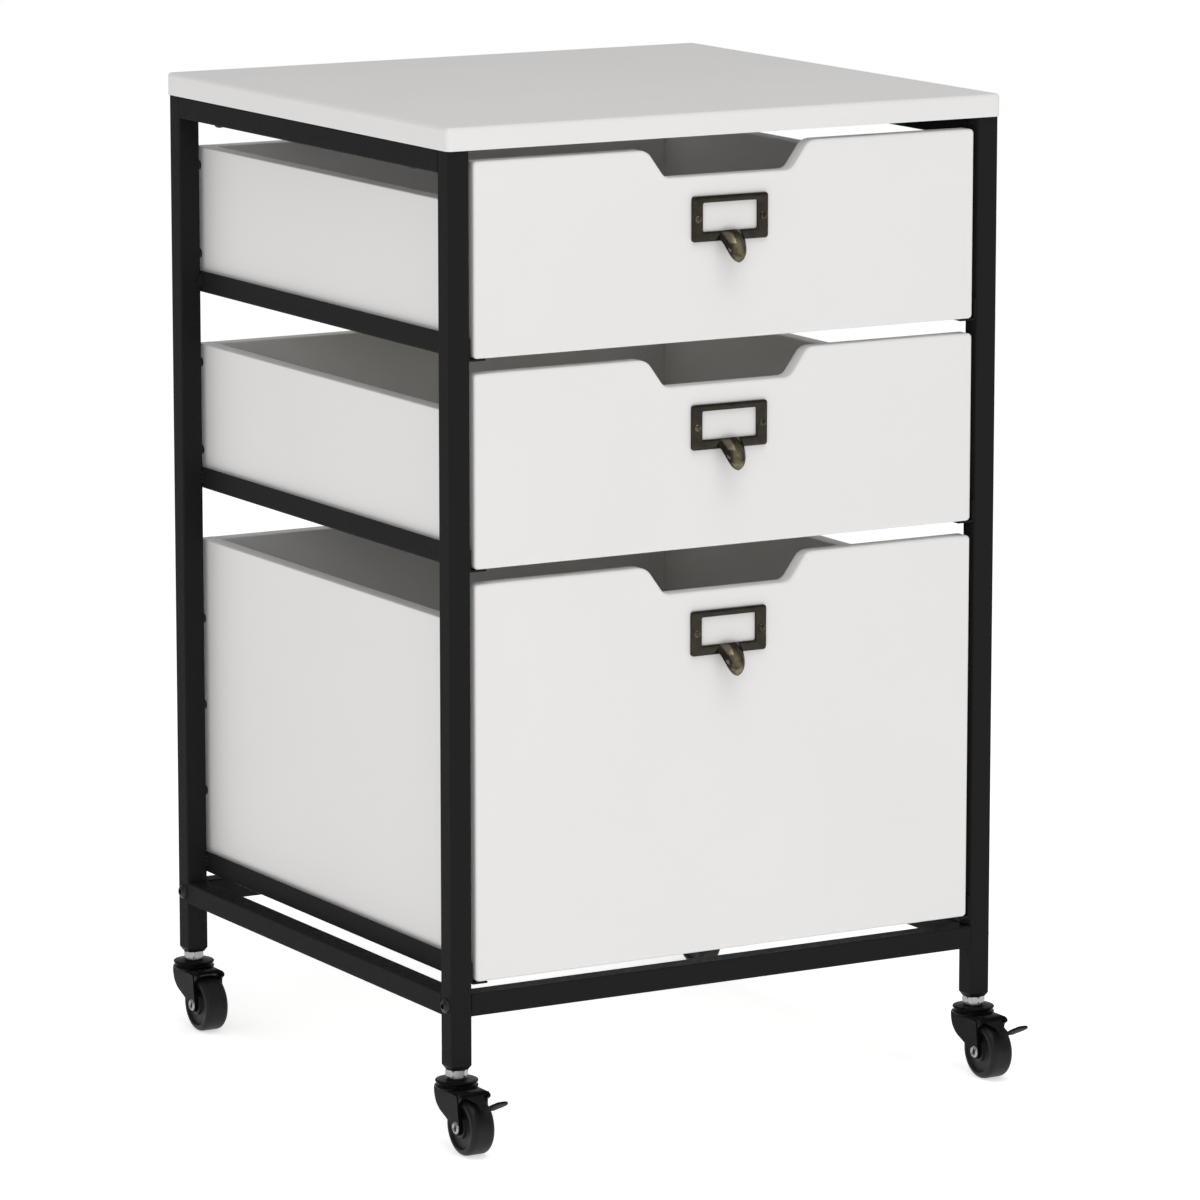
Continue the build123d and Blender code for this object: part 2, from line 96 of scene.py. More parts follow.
def plug_in(finish, sources):
    surface = finish.node_tree.nodes["Principled BSDF"]
    for key, source in sources.items():
        finish.node_tree.links.new(source, surface.inputs[key])


def coat(names, finish):
    for name in names:
        for slot in parts[name].material_slots:
            slot.material = finish


# Polyester powder, baked on: a dense black with a soft sheen and a slight orange peel. The
# peel is about 1 mm across on the tube and drawn 3 mm across so that it can be seen.
powder_coat = new_finish("black_powder_coated_steel", {
    "Base Color": to_linear("#222222"), "Specular IOR Level": 0.015})
peel = grain(powder_coat, 0.003)
plug_in(powder_coat, {
    "Roughness": spread(powder_coat, peel, 0.36, 0.5, from_min=0.3, from_max=0.7),
    "Normal": bump(powder_coat, peel, strength=0.18, distance=0.0004)})

corners = ("front_left", "front_right", "rear_left", "rear_right")
coat([f"post_{corner}" for corner in corners], powder_coat)
coat(["top_rail_left", "top_rail_right"], powder_coat)
coat([f"base_rail_{side}" for side in ("left", "right", "front", "rear")], powder_coat)


# Drawer runners: angles folded from 1.2 mm steel sheet, a left and a right one under each
# drawer. They lie against the inner faces of the posts and carry the same powder coat.
drawers = ("upper", "middle", "lower")
coat([f"runners_{drawer}" for drawer in drawers], powder_coat)


# Weld beads: short runs of weld, three or four ripples long, in the corner between each
# runner and the post it lies against. They were sprayed over with the rest of the frame.
def new_tree(name, inputs, output):
    tree = bpy.data.node_groups.new(name, "GeometryNodeTree")
    for label, kind in inputs.items():
        tree.interface.new_socket(label, in_out="INPUT", socket_type="NodeSocket" + kind)
    tree.interface.new_socket(output, in_out="OUTPUT", socket_type="NodeSocketGeometry")
    return tree, add_node(tree, "NodeGroupInput").outputs


def send_out(tree, instances, finish, output):
    real = add_node(tree, "GeometryNodeRealizeInstances", {"Geometry": instances})
    dressed = add_node(tree, "GeometryNodeSetMaterial", {
        "Geometry": real.outputs[0], "Material": finish})
    add_node(tree, "NodeGroupOutput", {output: dressed.outputs[0]})


def smooth(mesh, sharp):
    for polygon in mesh.polygons:
        polygon.use_smooth = True
    mesh.set_sharp_from_angle(angle=math.radians(sharp))


def grow(name, tree, values, points, edges=(), facings=None, sharp=40.0):
    # an object from what a geometry tree makes of the points and edges
    mesh = bpy.data.meshes.new(name)
    mesh.from_pydata(points, edges, [])
    if facings:
        facing = mesh.attributes.new("facing", "FLOAT_VECTOR", "POINT")
        for i, direction in enumerate(facings):
            facing.data[i].vector = direction
    piece = bpy.data.objects.new(name, mesh)
    bpy.context.scene.collection.objects.link(piece)
    made = piece.modifiers.new(tree.name, "NODES")
    made.node_group = tree
    for item in tree.interface.items_tree:
        if item.item_type == "SOCKET" and item.in_out == "INPUT" and item.name in values:
            made[item.identifier] = values[item.name]
    graph = bpy.context.evaluated_depsgraph_get()
    solid = bpy.data.meshes.new_from_object(piece.evaluated_get(graph), depsgraph=graph)
    piece.modifiers.clear()
    piece.data = solid
    smooth(solid, sharp)
    return piece


weld_run, given = new_tree("weld_run", {
    "Seams": "Geometry", "Bead Radius": "Float", "Pitch": "Float", "Finish": "Material"}, "Beads")
seam = add_node(weld_run, "GeometryNodeMeshToCurve", {"Mesh": given["Seams"]})
ripples = add_node(weld_run, "GeometryNodeResampleCurve", {
    "Curve": seam.outputs[0], "Length": given["Pitch"]}, mode="LENGTH")
bead = add_node(weld_run, "GeometryNodeMeshIcoSphere", {
    "Radius": given["Bead Radius"], "Subdivisions": 3})
# sockets 2 and 3 are the least and the largest number
uneven = add_node(weld_run, "FunctionNodeRandomValue", {2: 0.8, 3: 1.1, "Seed": 4})
laid = add_node(weld_run, "GeometryNodeInstanceOnPoints", {
    "Points": ripples.outputs[0], "Instance": bead.outputs["Mesh"], "Scale": uneven.outputs[1]})
send_out(weld_run, laid.outputs["Instances"], given["Finish"], "Beads")

seam_clear = 0.0004
seam_heights = (0.006, 0.012)
seam_points = []
seam_edges = []
for drawer in drawers:
    low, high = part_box(f"runners_{drawer}")
    for end in ("front", "rear"):
        post_low, post_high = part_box(f"post_{end}_left")
        y = post_high.y + seam_clear if end == "front" else post_low.y - seam_clear
        for side in (-1, 1):
            x = side * (high.x + seam_clear)
            seam_edges.append((len(seam_points), len(seam_points) + 1))
            seam_points += [(x, y, low.z + height) for height in seam_heights]
welds = grow("weld_beads", weld_run, {
    "Bead Radius": 0.0018, "Pitch": 0.002, "Finish": powder_coat}, seam_points, seam_edges)
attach(welds, "frame")


# Rail bolts: button-head hexagon socket bolts, one through each post into the end of a base
# rail. Black oxide leaves them a little browner and glossier than the tube.
black_oxide = new_finish("black_oxide_steel", {
    "Base Color": to_linear("#121110"), "Specular IOR Level": 0.35})
stain = grain(black_oxide, 0.002, detail=3.0)
plug_in(black_oxide, {"Roughness": spread(black_oxide, stain, 0.24, 0.46)})


def maths(tree, operation, first, second, **settings):
    made = add_node(tree, "ShaderNodeMath", {0: first, 1: second}, operation=operation, **settings)
    return made.outputs[0]


def xyz(tree, x=0.0, y=0.0, z=0.0):
    return add_node(tree, "ShaderNodeCombineXYZ", {"X": x, "Y": y, "Z": z}).outputs[0]


def combine(tree, operation, solids):
    made = add_node(tree, "GeometryNodeMeshBoolean", operation=operation, solver="EXACT")
    for solid in solids:
        tree.links.new(solid, made.inputs["Mesh 2"])
    return made.outputs[0]


def cut_from(tree, solid, tool):
    made = add_node(tree, "GeometryNodeMeshBoolean", {"Mesh 1": solid, "Mesh 2": tool},
                    operation="DIFFERENCE", solver="EXACT")
    return made.outputs[0]


# One tree makes every driven head on the cart: a dome on a short round body, with a recess
# of straight sides or a cross cut down into it, turned to the way each screw faces.
driven_head, given = new_tree("driven_head", {
    "Spots": "Geometry", "Head Radius": "Float", "Head Height": "Float", "Body Depth": "Float",
    "Drive Radius": "Float", "Drive Depth": "Float", "Drive Sides": "Int",
    "Cross Drive": "Bool", "Finish": "Material"}, "Heads")
squat = maths(driven_head, "DIVIDE", given["Head Height"], given["Head Radius"])
ball = add_node(driven_head, "GeometryNodeMeshUVSphere", {
    "Segments": 32, "Rings": 16, "Radius": given["Head Radius"]})
dome = add_node(driven_head, "GeometryNodeTransform", {
    "Geometry": ball.outputs["Mesh"], "Scale": xyz(driven_head, 1.0, 1.0, squat)})
under = maths(driven_head, "MULTIPLY", given["Body Depth"], -0.5)
stub = add_node(driven_head, "GeometryNodeMeshCylinder", {
    "Vertices": 32, "Radius": given["Head Radius"], "Depth": given["Body Depth"]})
stub = add_node(driven_head, "GeometryNodeTransform", {
    "Geometry": stub.outputs["Mesh"], "Translation": xyz(driven_head, z=under)})
whole = combine(driven_head, "UNION", (dome.outputs[0], stub.outputs[0]))
cross_wing_share = 0.42
reach = maths(driven_head, "MULTIPLY", given["Drive Depth"], 2.0)
span = maths(driven_head, "MULTIPLY", given["Drive Radius"], 2.0)
wing = maths(driven_head, "MULTIPLY", given["Drive Radius"], cross_wing_share)
key = add_node(driven_head, "GeometryNodeMeshCylinder", {
    "Vertices": given["Drive Sides"], "Radius": given["Drive Radius"], "Depth": reach})
blades = [
    add_node(driven_head, "GeometryNodeMeshCube", {"Size": xyz(driven_head, x, y, reach)})
    for x, y in ((span, wing), (wing, span))]
cross = combine(driven_head, "UNION", [blade.outputs["Mesh"] for blade in blades])
driver = add_node(driven_head, "GeometryNodeSwitch", {
    "Switch": given["Cross Drive"], "False": key.outputs["Mesh"], "True": cross},
    input_type="GEOMETRY")
driver = add_node(driven_head, "GeometryNodeTransform", {
    "Geometry": driver.outputs[0], "Translation": xyz(driven_head, z=given["Head Height"])})
cut = cut_from(driven_head, whole, driver.outputs[0])
facing = add_node(driven_head, "GeometryNodeInputNamedAttribute", {"Name": "facing"},
                  data_type="FLOAT_VECTOR")
turned_to = add_node(driven_head, "FunctionNodeAlignRotationToVector", {
    "Vector": facing.outputs[0]}, axis="Z")
driven = add_node(driven_head, "GeometryNodeMeshToPoints", {"Mesh": given["Spots"]})
driven = add_node(driven_head, "GeometryNodeInstanceOnPoints", {
    "Points": driven.outputs[0], "Instance": cut, "Rotation": turned_to.outputs[0]})
send_out(driven_head, driven.outputs[0], given["Finish"], "Heads")

rail_low, rail_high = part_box("base_rail_front")
spots = []
facings = []
for corner in corners:
    low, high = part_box(f"post_{corner}")
    side = -1 if corner.endswith("left") else 1
    spots.append((side * max(abs(low.x), abs(high.x)), (low.y + high.y) / 2,
                  (rail_low.z + rail_high.z) / 2))
    facings.append((side, 0, 0))
bolts = grow("rail_bolts_socket_heads", driven_head, {
    "Head Radius": 0.00525, "Head Height": 0.0033, "Body Depth": 0.03,
    "Drive Radius": 0.0023, "Drive Depth": 0.0018, "Drive Sides": 6,
    "Cross Drive": False, "Finish": black_oxide}, spots, facings=facings)
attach(bolts, "frame")
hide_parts("rail_bolts")


# Rail end inserts: square steel plugs with a thread, driven into the ends of the base rails
# for the bolts. They are bright zinc plated and out of sight inside the tube.
def blend(finish, factor, first, second):
    # sockets 6, 7 and 2 are the two colours and the mixed one
    colours = [to_linear(tone) if isinstance(tone, str) else tone for tone in (first, second)]
    mixed = add_node(finish.node_tree, "ShaderNodeMix", {
        "Factor": factor, 6: colours[0], 7: colours[1]}, data_type="RGBA")
    return mixed.outputs[2]


zinc_plate = new_finish("bright_zinc_plated_steel", {"Metallic": 1.0})
spangle = grain(zinc_plate, 0.0025, detail=3.0)
plug_in(zinc_plate, {
    "Base Color": blend(zinc_plate, spangle, "#85888a", "#b0b2b3"),
    "Roughness": spread(zinc_plate, spangle, 0.16, 0.32)})
coat(["rail_end_inserts"], zinc_plate)


# Top panel: one 16 mm fibreboard, its upper edges eased over and its corners rounded, sprayed
# white on all sides. Screws from below hold it down on the side rails.
white_lacquer = new_finish("white_lacquered_fibreboard", {"Specular IOR Level": 0.4})
# Sprayed lacquer over sanded board: almost even white, a shade warmer in places over a hand's
# breadth, with spray texture 1.5 mm across, drawn 4 mm across so that it can be seen.
cloud = grain(white_lacquer, 0.12)
spray = grain(white_lacquer, 0.004)
plug_in(white_lacquer, {
    "Base Color": blend(white_lacquer, cloud, "#e4e2e0", "#e8e6e4"),
    "Roughness": spread(white_lacquer, spray, 0.4, 0.5, from_min=0.3, from_max=0.7),
    "Normal": bump(white_lacquer, spray, strength=0.06, distance=0.0003)})
coat(["top_panel"], white_lacquer)


# Top panel screws: black pan-head screws with a cross recess, up through the side rails into
# the underside of the panel, two on each side.
panel_screw_inset = 0.065
rail_low, rail_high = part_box("top_rail_left")
front_low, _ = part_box("post_front_left")
_, rear_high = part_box("post_rear_left")
spots = [
    (side * abs(rail_low.x + rail_high.x) / 2, y, rail_low.z) for side in (-1, 1)
    for y in (front_low.y + panel_screw_inset, rear_high.y - panel_screw_inset)]
panel_screws = grow("top_panel_screw_heads", driven_head, {
    "Head Radius": 0.004, "Head Height": 0.0026, "Body Depth": 0.024,
    "Drive Radius": 0.0022, "Drive Depth": 0.0016, "Drive Sides": 6,
    "Cross Drive": True, "Finish": black_oxide}, spots, facings=[(0, 0, -1)] * len(spots))
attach(panel_screws, "frame")
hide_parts("top_panel_screws")


# Drawer boxes: fronts, sides and backs of 12 mm fibreboard, sprayed the same white as the top,
# with a finger notch cut in each front. The sides and back stand lower than the front.
for drawer in drawers:
    boards = ("front", "left_side", "right_side", "back")
    coat([f"drawer_{drawer}_{board}" for board in boards], white_lacquer)


# Drawer bottoms: 6 mm board faced with white paper foil, let into grooves in the four walls.
# The foil is a little duller and greyer than the sprayed boards.
white_foil = new_finish("white_paper_foil_board", {})
fleck = grain(white_foil, 0.006, detail=3.0)
plug_in(white_foil, {
    "Base Color": blend(white_foil, fleck, "#d2d0cb", "#dcdad6"),
    "Roughness": spread(white_foil, fleck, 0.5, 0.62)})
coat([f"drawer_{drawer}_bottom" for drawer in drawers], white_foil)


# Drawer wall screws: black countersunk screws with a cross recess, through the sides into the
# ends of the back. Their flat heads finish level with the board.
for drawer in drawers:
    low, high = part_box(f"drawer_{drawer}_wall_screws")
    wall_low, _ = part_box(f"drawer_{drawer}_left_side")
    count = 3 if drawer == "lower" else 2
    head_radius = (high.y - low.y) / 2
    spots = []
    facings = []
    for side in (-1, 1):
        for i in range(count):
            z = low.z + head_radius + (high.z - low.z - 2 * head_radius) * i / (count - 1)
            spots.append((side * abs(wall_low.x), (low.y + high.y) / 2, z))
            facings.append((side, 0, 0))
    screws = grow(f"drawer_{drawer}_wall_screw_heads", driven_head, {
        "Head Radius": head_radius, "Head Height": 0.0003, "Body Depth": 0.0018,
        "Drive Radius": 0.0019, "Drive Depth": 0.0014, "Drive Sides": 6,
        "Cross Drive": True, "Finish": black_oxide}, spots, facings=facings)
    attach(screws, f"{drawer}_drawer")
    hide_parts(f"drawer_{drawer}_wall_screws")


# Label pulls: die-cast zinc frames that hold a paper label, with a tongue curling out and down
# below for one finger. Plated and toned to an aged bronze, rubbed bright where fingers reach;
# on the tongue's crown that pale brass is also a painted highlight.
aged_bronze = new_finish("aged_bronze_plated_zinc", {"Metallic": 0.9})
rub_and_highlight = add_node(aged_bronze.node_tree, "ShaderNodeAttribute", attribute_name="rub_and_highlight")
# The toning lies unevenly in soft patches some 5 mm across: near black in the hollows, brown
# on the flats and greyed yellow metal along the tongue's crown, which there is partly finger wear
# and partly a painted highlight.
patch = grain(aged_bronze, 0.005)
toned = blend(aged_bronze, patch, "#23201c", "#413c34")
wear_and_highlight = maths(aged_bronze.node_tree, "MULTIPLY", spread(aged_bronze, patch, 0.0, 1.0, 0.2, 0.6),
             rub_and_highlight.outputs["Fac"], use_clamp=True)
# the pale brass blended in where the vertex mask is high is partly finger wear and partly a
# painted highlight on the tongue's crown
plug_in(aged_bronze, {
    "Base Color": blend(aged_bronze, wear_and_highlight, toned, "#968d6e"),
    "Roughness": spread(aged_bronze, patch, 0.1, 0.22),
    "Normal": bump(aged_bronze, patch, strength=0.3, distance=0.0004)})


def rounded_loop(half_x, half_z, radius, steps):
    loop = []
    for quarter, (sx, sz) in enumerate(((1, 1), (-1, 1), (-1, -1), (1, -1))):
        for i in range(steps + 1):
            angle = math.radians(90 * quarter + 90 * i / steps)
            loop.append((sx * (half_x - radius) + radius * math.cos(angle),
                         sz * (half_z - radius) + radius * math.sin(angle)))
    return loop


def skin_over(mesh, rings):
    # a closed band of quads over rings of equal length
    rows = [[mesh.verts.new(point) for point in ring] for ring in rings]
    for near, far in zip(rows, rows[1:]):
        for i in range(len(near)):
            j = (i + 1) % len(near)
            mesh.faces.new((near[i], near[j], far[j], far[i]))
    return rows


def piece_from(mesh, name, finish, sharp):
    bmesh.ops.remove_doubles(mesh, verts=mesh.verts, dist=1e-7)
    bmesh.ops.recalc_face_normals(mesh, faces=mesh.faces)
    data = bpy.data.meshes.new(name)
    mesh.to_mesh(data)
    mesh.free()
    data.materials.append(finish)
    smooth(data, sharp)
    piece = bpy.data.objects.new(name, data)
    bpy.context.scene.collection.objects.link(piece)
    return piece


def through(first, second, third, t):
    # a curve that meets the three values at 0, a half and 1
    return first * (1 - t) * (1 - 2 * t) + second * 4 * t * (1 - t) + third * t * (2 * t - 1)


pull_half_x = 0.0303
pull_half_z = 0.01585
pull_thick = 0.0026
pull_corner = 0.0022
window_half_x = 0.022
window_half_z = 0.0100
window_corner = 0.0012
window_rise = 0.0011
corner_change = 0.6
corner_steps = 6
# Steps from the outer edge inward and from the window's edge outward, each with its height
# over the drawer front: a rounded outer edge, a slightly hollow face, a softened window edge.
outer_steps = ((0, 0), (0, 0.0015), (0.0001, 0.0019), (0.0004, 0.0023), (0.0009, 0.0025),
               (0.0014, pull_thick))
window_steps = ((0.0012, 0.0025), (0.0006, 0.00245), (0.0002, 0.0022), (0, 0.0018), (0, 0))
# The tongue is a half round crown that rises from the window's edge and runs out and down,
# its sides swept back to the lower bar at the root and drawn in to a round tip. Its middle
# line goes through three points, out from the drawer front and up from the frame's middle.
tongue_root = (0.0045, -0.0088)
tongue_middle = (0.0128, -0.0182)
tongue_tip = (0.0150, -0.0297)
tongue_half = 0.0112
tongue_taper = 0.0048
taper_power = 0.9
tip_power = 6
tip_limit = 0.9995
root_crown = 0.0054
crown_loss = 0.0026
root_depth = 0.0024
depth_loss = 0.0009
lean_out = 0.8
lean_up = 0.6
root_sweep = 0.0012
least_out = 0.0002
tongue_stations = 28
tongue_around = 28
# Where the tongue's crown stands out from the front, pale brass is laid on along its middle:
# partly finger wear and partly a painted highlight, less towards the tip.
highlight_rub_from = 0.0080
highlight_rub_over = 0.0045
highlight_rub_width = 0.46
tip_highlight_rub = 0.3
tip_fade = 0.008
for drawer in drawers:
    _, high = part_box(f"drawer_{drawer}_pull")
    face_y = high.y
    centre_z = high.z - pull_half_z
    mesh = bmesh.new()
    rings = []
    for inset, out in outer_steps:
        loop = rounded_loop(pull_half_x - inset, pull_half_z - inset,
                            pull_corner - inset * corner_change, corner_steps)
        rings.append([(x, face_y - out, centre_z + z) for x, z in loop])
    for outset, out in window_steps:
        loop = rounded_loop(window_half_x + outset, window_half_z + outset,
                            window_corner + outset * corner_change, corner_steps)
        rings.append([(x, face_y - out, centre_z + window_rise + z) for x, z in loop])
    rings.append(rings[0])
    skin_over(mesh, rings)
    rings = []
    for i in range(tongue_stations + 1):
        t = math.sin(math.pi / 2 * i / tongue_stations)
        out, up = (through(*along, t) for along in zip(tongue_root, tongue_middle, tongue_tip))
        half = tongue_half - tongue_taper * t ** taper_power
        half *= math.sqrt(1 - min(t, tip_limit) ** tip_power)
        crown = (root_crown - crown_loss * t) * (half / tongue_half)
        depth = root_depth - depth_loss * t
        ring = []
        for k in range(tongue_around):
            angle = 2 * math.pi * k / tongue_around
            across = math.cos(angle)
            thick = math.sin(angle) * depth / 2
            forward = out - depth / 2 - crown * across ** 2 + thick * lean_out
            upward = up + thick * lean_up - root_sweep * (1 - t) * across ** 2
            ring.append((half * across, face_y - max(least_out, forward), centre_z + upward))
        rings.append(ring)
    rows = skin_over(mesh, rings)
    mesh.faces.new(rows[0])
    mesh.faces.new(rows[-1])
    pull = piece_from(mesh, f"drawer_{drawer}_label_pull", aged_bronze, 50.0)
    # mask for the pale brass: finger wear and a painted highlight on the crown, fading towards the
    # tip
    rub_and_highlight_layer = pull.data.attributes.new("rub_and_highlight", "FLOAT", "POINT")
    for i, vertex in enumerate(pull.data.vertices):
        forward = (face_y - vertex.co.y - highlight_rub_from) / highlight_rub_over
        across = abs(vertex.co.x) / tongue_half / highlight_rub_width
        above_tip = vertex.co.z - (centre_z + tongue_tip[1])
        rub_and_highlight_layer.data[i].value = (max(0.0, min(1.0, forward)) * max(0.0, 1 - across ** 2)
                              * min(1.0, tip_highlight_rub + above_tip / tip_fade))
    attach(pull, f"{drawer}_drawer")
    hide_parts(f"drawer_{drawer}_pull")


# Pull screws: small round-head screws in the same toned bronze, one through each side bar of
# a label pull into the drawer front. The left one of each pair is rubbed brighter.
left_rub = 0.35
right_rub = 0.12
for drawer in drawers:
    _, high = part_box(f"drawer_{drawer}_pull")
    z = high.z - pull_half_z
    spots = [(side * (pull_half_x + window_half_x) / 2, high.y - pull_thick, z)
             for side in (-1, 1)]
    screws = grow(f"drawer_{drawer}_pull_screw_heads", driven_head, {
        "Head Radius": 0.0027, "Head Height": 0.0013, "Body Depth": 0.0020,
        "Drive Radius": 0.0017, "Drive Depth": 0.0010, "Drive Sides": 6,
        "Cross Drive": True, "Finish": aged_bronze}, spots, facings=[(0, -1, 0)] * len(spots))
    rub_and_highlight_layer = screws.data.attributes.new("rub_and_highlight", "FLOAT", "POINT")
    for i, vertex in enumerate(screws.data.vertices):
        rub_and_highlight_layer.data[i].value = left_rub if vertex.co.x < 0 else right_rub
    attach(screws, f"{drawer}_drawer")
    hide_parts(f"drawer_{drawer}_pull_screws")


# Post end plugs: moulded black plastic, pushed into the foot of each post and drawn in to a
# neck, with a threaded hole for the caster's stem.
moulded_black = new_finish("black_moulded_polypropylene", {
    "Base Color": to_linear("#0e0e0f"), "Specular IOR Level": 0.2})
# Spark-eroded mould texture, 0.2 mm on the piece and drawn 1.2 mm across to be seen.
grit = grain(moulded_black, 0.0012)
plug_in(moulded_black, {
    "Roughness": spread(moulded_black, grit, 0.42, 0.6),
    "Normal": bump(moulded_black, grit, strength=0.12, distance=0.0002)})
coat(["post_end_plugs"], moulded_black)


# Caster nuts: zinc plated hexagon nuts with turned corners, run down the stems against the
# plugs to lock the casters. The stems, with their bright collars, are zinc plated too.
coat(["caster_stems"], zinc_plate)
hex_nut, given = new_tree("hex_nut", {
    "Spots": "Geometry", "Corner Radius": "Float", "Height": "Float", "Turned Height": "Float",
    "Bore Radius": "Float", "Finish": "Material"}, "Nuts")
bar = add_node(hex_nut, "GeometryNodeMeshCylinder", {
    "Vertices": 6, "Radius": given["Corner Radius"], "Depth": given["Height"]})
ball = add_node(hex_nut, "GeometryNodeMeshUVSphere", {
    "Segments": 48, "Rings": 24, "Radius": given["Corner Radius"]})
# the turning ball is a hair wider than the corners, so that they stay whole at mid height
ball_ease = 1.005
squat = maths(hex_nut, "DIVIDE", given["Turned Height"], given["Corner Radius"])
ball = add_node(hex_nut, "GeometryNodeTransform", {
    "Geometry": ball.outputs["Mesh"], "Scale": xyz(hex_nut, ball_ease, ball_ease, squat)})
turned = combine(hex_nut, "INTERSECT", (bar.outputs["Mesh"], ball.outputs[0]))
reach = maths(hex_nut, "MULTIPLY", given["Height"], 2.0)
drill = add_node(hex_nut, "GeometryNodeMeshCylinder", {
    "Vertices": 32, "Radius": given["Bore Radius"], "Depth": reach})
bored = cut_from(hex_nut, turned, drill.outputs["Mesh"])
set_at = add_node(hex_nut, "GeometryNodeMeshToPoints", {"Mesh": given["Spots"]})
run_down = add_node(hex_nut, "FunctionNodeRandomValue", {2: 0.0, 3: 1.0, "Seed": 7})
nuts_on = add_node(hex_nut, "GeometryNodeInstanceOnPoints", {
    "Points": set_at.outputs[0], "Instance": bored,
    "Rotation": xyz(hex_nut, z=run_down.outputs[1])})
send_out(hex_nut, nuts_on.outputs[0], given["Finish"], "Nuts")

post_spots = {}
for corner in corners:
    post_low, post_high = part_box(f"post_{corner}")
    post_spots[corner] = ((post_low.x + post_high.x) / 2, (post_low.y + post_high.y) / 2)
low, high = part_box("caster_nuts")
spots = [(x, y, (low.z + high.z) / 2) for x, y in post_spots.values()]
nuts = grow("caster_lock_nuts", hex_nut, {
    "Corner Radius": 0.0081, "Height": high.z - low.z, "Turned Height": 0.0063,
    "Bore Radius": 0.004, "Finish": zinc_plate}, spots, sharp=25.0)
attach(nuts, "frame")
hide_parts("caster_nuts")


# Caster swivel races: pressed steel cones on the stems, with a rolled rim that covers the
# balls. Black paint with little gloss, like the forks under them.
black_enamel = new_finish("black_enamelled_pressed_steel", {
    "Base Color": to_linear("#0b0b0b"), "Specular IOR Level": 0.05})
flow = grain(black_enamel, 0.005)
plug_in(black_enamel, {
    "Roughness": spread(black_enamel, flow, 0.2, 0.3),
    "Normal": bump(black_enamel, flow, strength=0.05, distance=0.0003)})


def turn_profile(mesh, profile, centre, axis, steps):
    # a closed profile of (radius, along) points turned round an axis through centre
    rows = []
    for i in range(steps):
        angle = 2 * math.pi * i / steps
        row = []
        for radius, along in profile:
            c, s = radius * math.cos(angle), radius * math.sin(angle)
            spot = (along, c, s) if axis == "X" else (c, s, along)
            row.append([a + b for a, b in zip(centre, spot)])
        rows.append(row)
    rows.append(rows[0])
    skin_over(mesh, rows)


race_steps = 56
race_profile = [
    (0.0041, 0), (0.0144, 0), (0.0148, 0.0002), (0.0150, 0.0006), (0.0150, 0.0011),
    (0.0147, 0.0015), (0.0138, 0.0018), (0.0110, 0.0020), (0.0092, 0.0024), (0.0078, 0.0027),
    (0.0041, 0.0027)]
race_low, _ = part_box("caster_upper_races")
mesh = bmesh.new()
for x, y in post_spots.values():
    turn_profile(mesh, race_profile, (x, y, race_low.z), "Z", race_steps)
races = piece_from(mesh, "caster_race_cones", black_enamel, 40.0)
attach(races, "frame")
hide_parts("caster_upper_races")


# Caster forks: pressed from 2 mm sheet into an inverted channel with two cheeks that trail
# to the axle, and a lug at the nose for the brake pin. The turning race is pressed on top.
def smooth_outline(points, steps):
    # a closed Catmull-Rom curve through the points
    outline = []
    n = len(points)
    for i in range(n):
        a, b, c, d = (Vector(points[(i + k) % n]) for k in (-1, 0, 1, 2))
        for j in range(steps):
            t = j / steps
            outline.append(0.5 * (2 * b + (c - a) * t + (2 * a - 5 * b + 4 * c - d) * t ** 2
                                  + (3 * b - a - 3 * c + d) * t ** 3))
    return outline


def prism(points, along, low, high):
    # a closed outline pushed along X or Y into a solid
    mesh = bmesh.new()
    ends = []
    for place in (low, high):
        spots = [(place, *p) if along == "X" else (p[0], place, p[1]) for p in points]
        ends.append([mesh.verts.new(spot) for spot in spots])
    for i in range(len(points)):
        j = (i + 1) % len(points)
        mesh.faces.new((ends[0][i], ends[0][j], ends[1][j], ends[1][i]))
    mesh.faces.new(ends[0])
    mesh.faces.new(ends[1])
    bmesh.ops.recalc_face_normals(mesh, faces=mesh.faces)
    return mesh


def arc(centre, radius, angles):
    return [(centre[0] + radius * math.cos(a), centre[1] + radius * math.sin(a)) for a in angles]


fork_half = 0.0115
fork_sheet = 0.002
fork_top = 0.0455
fork_foot = 0.005
fork_ends = (-0.031, 0.013)
fork_bend = 0.0040
bend_angles = (0, 0.39, 0.79, 1.18, 1.571)
hub_back = 0.020
hub_up = 0.020
hub = (-hub_back, hub_up)
lug = (-0.0245, 0.0428)
# the cheek seen from the side: crown, round the lug, down the nose, round the hub and back
cheek_side = [
    (0.0119, 0.0420), (0.0117, 0.0453), (0.004, 0.0455), (-0.008, 0.0455), (-0.0195, 0.0455),
    *arc(lug, 0.0033, (1.2, 1.9, 2.6, 3.3, 3.9)),
    (-0.0236, 0.0375), (-0.0241, 0.0300),
    *arc(hub, 0.0055, (3.0, 3.4, 3.8, 4.3, 4.8, 5.3, 5.8)),
    (-0.0110, 0.0212), (-0.0055, 0.0239), (-0.0015, 0.0256), (0.0043, 0.0282),
    (0.0091, 0.0325), (0.0112, 0.0372)]
cheek_steps = 5
die_half = 0.02
# a raised flat on each cheek, from the crown down to the axle
strip_side = [
    (-0.0097, 0.0405), (-0.0110, 0.0425), (-0.0200, 0.0425), (-0.0222, 0.0400),
    (-0.0230, 0.0320),
    *arc(hub, 0.0050, (3.0, 3.5, 4.1, 4.7, 5.3, 5.9)),
    (-0.0112, 0.0245), (-0.0098, 0.0320)]
strip_steps = 4
strip_sink = 0.0004
strip_rise = 0.0005
